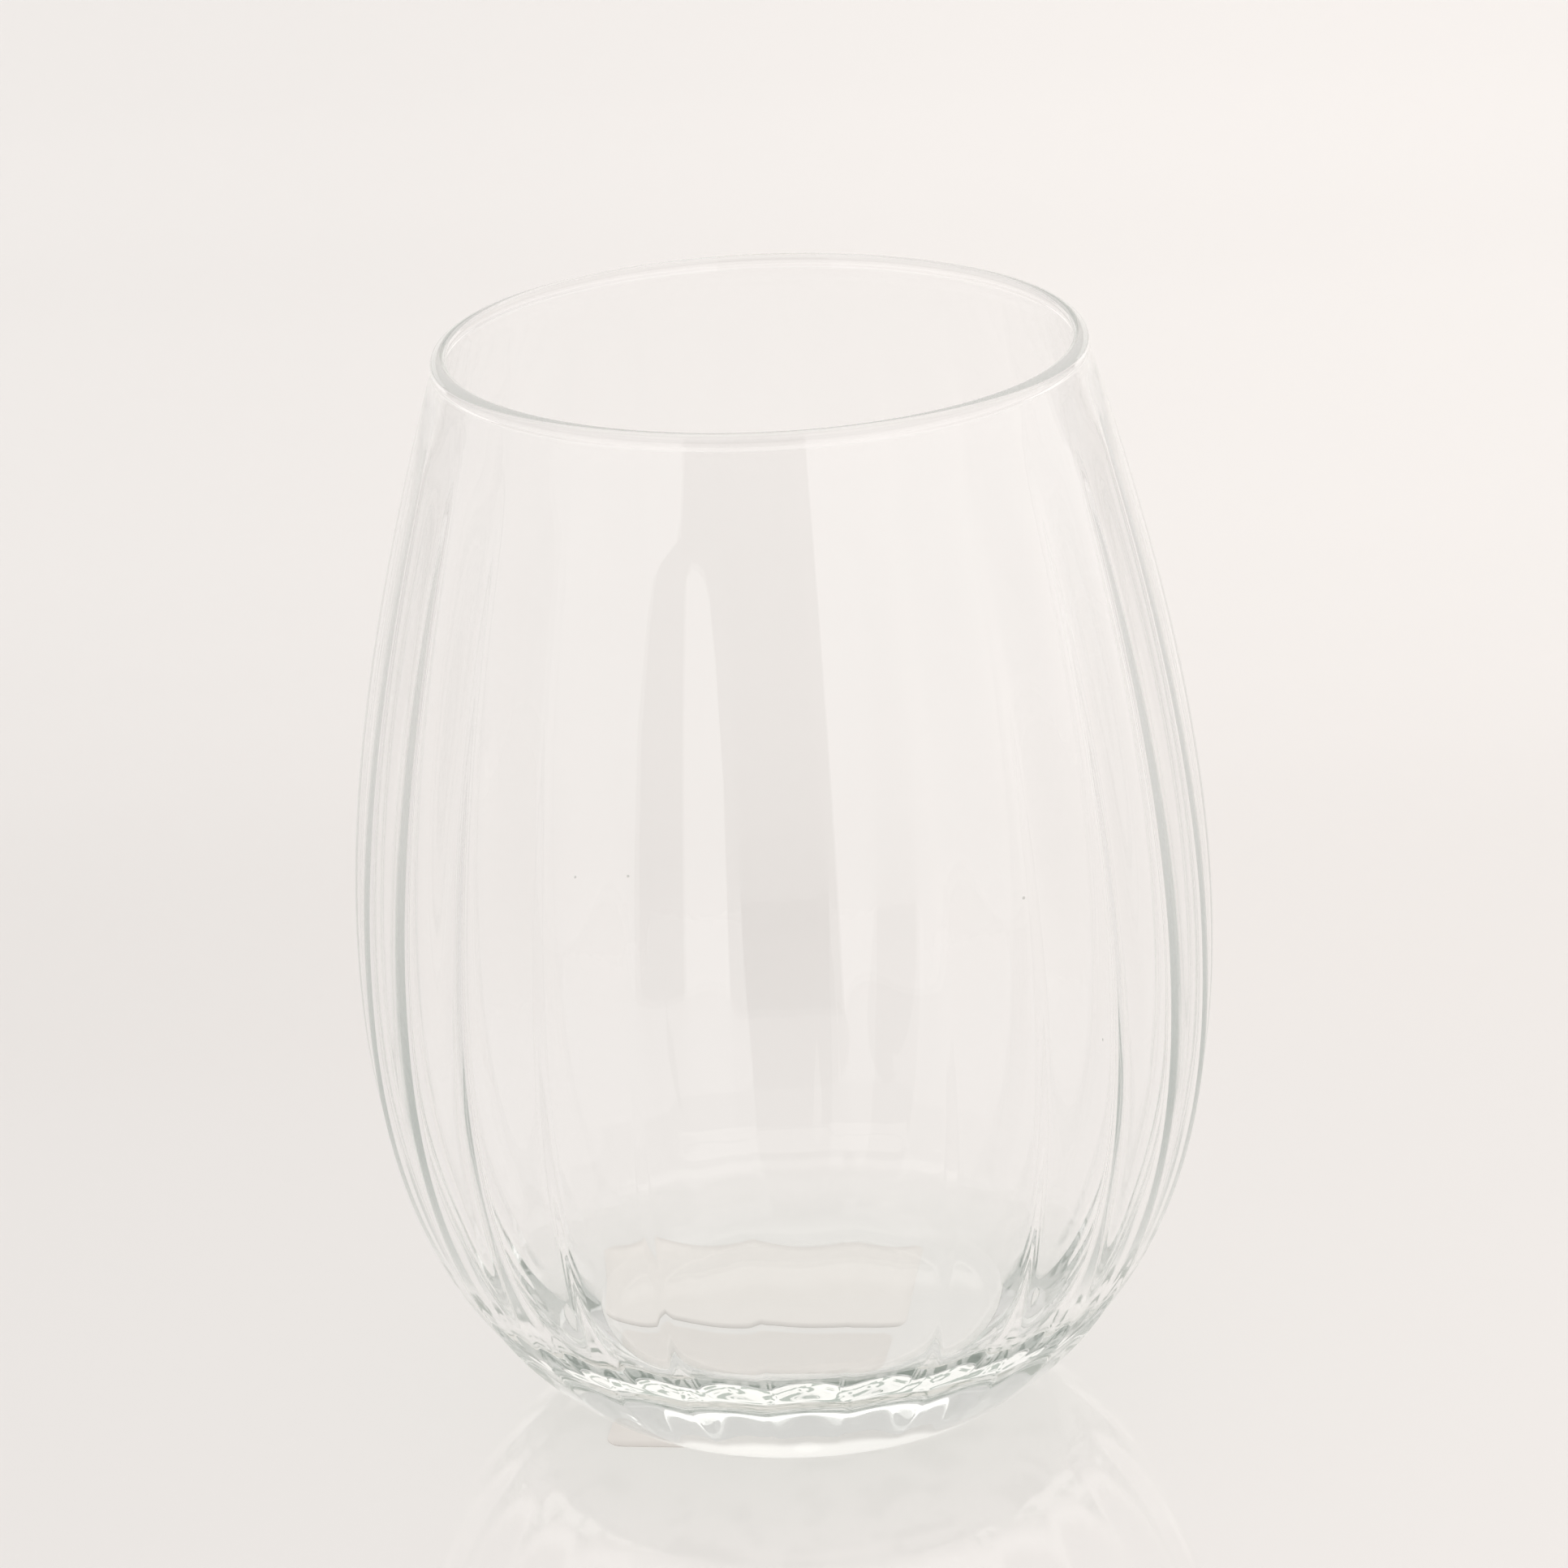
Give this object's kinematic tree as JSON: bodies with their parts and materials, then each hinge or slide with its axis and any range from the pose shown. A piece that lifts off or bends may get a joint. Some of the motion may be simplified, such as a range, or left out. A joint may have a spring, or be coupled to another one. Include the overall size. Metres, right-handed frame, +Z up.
{
  "type": "drinking glass",
  "caption": "Clear stemless water glass: egg-shaped tumbler with soft upright optic flutes, a plain rounded rim and a thick flat base, standing on two blank paper labels.",
  "frame": {"origin": "on the glass's axis at the surface it stands on, the underside of the labels", "axes": "+Z up along the glass's axis, -Y towards the viewer of the picture, +X to the viewer's right"},
  "size_m": [0.094, 0.0934, 0.12],
  "materials": {
    "clear_glass": "polished clear soda-lime glass with a faint grey-green edge tint",
    "label_paper": "blank off-white paper sticker, satin"
  },
  "bodies": {
    "root": {"tumbler": "clear_glass", "base_label": "label_paper", "front_label": "label_paper"}
  },
  "joints": []
}
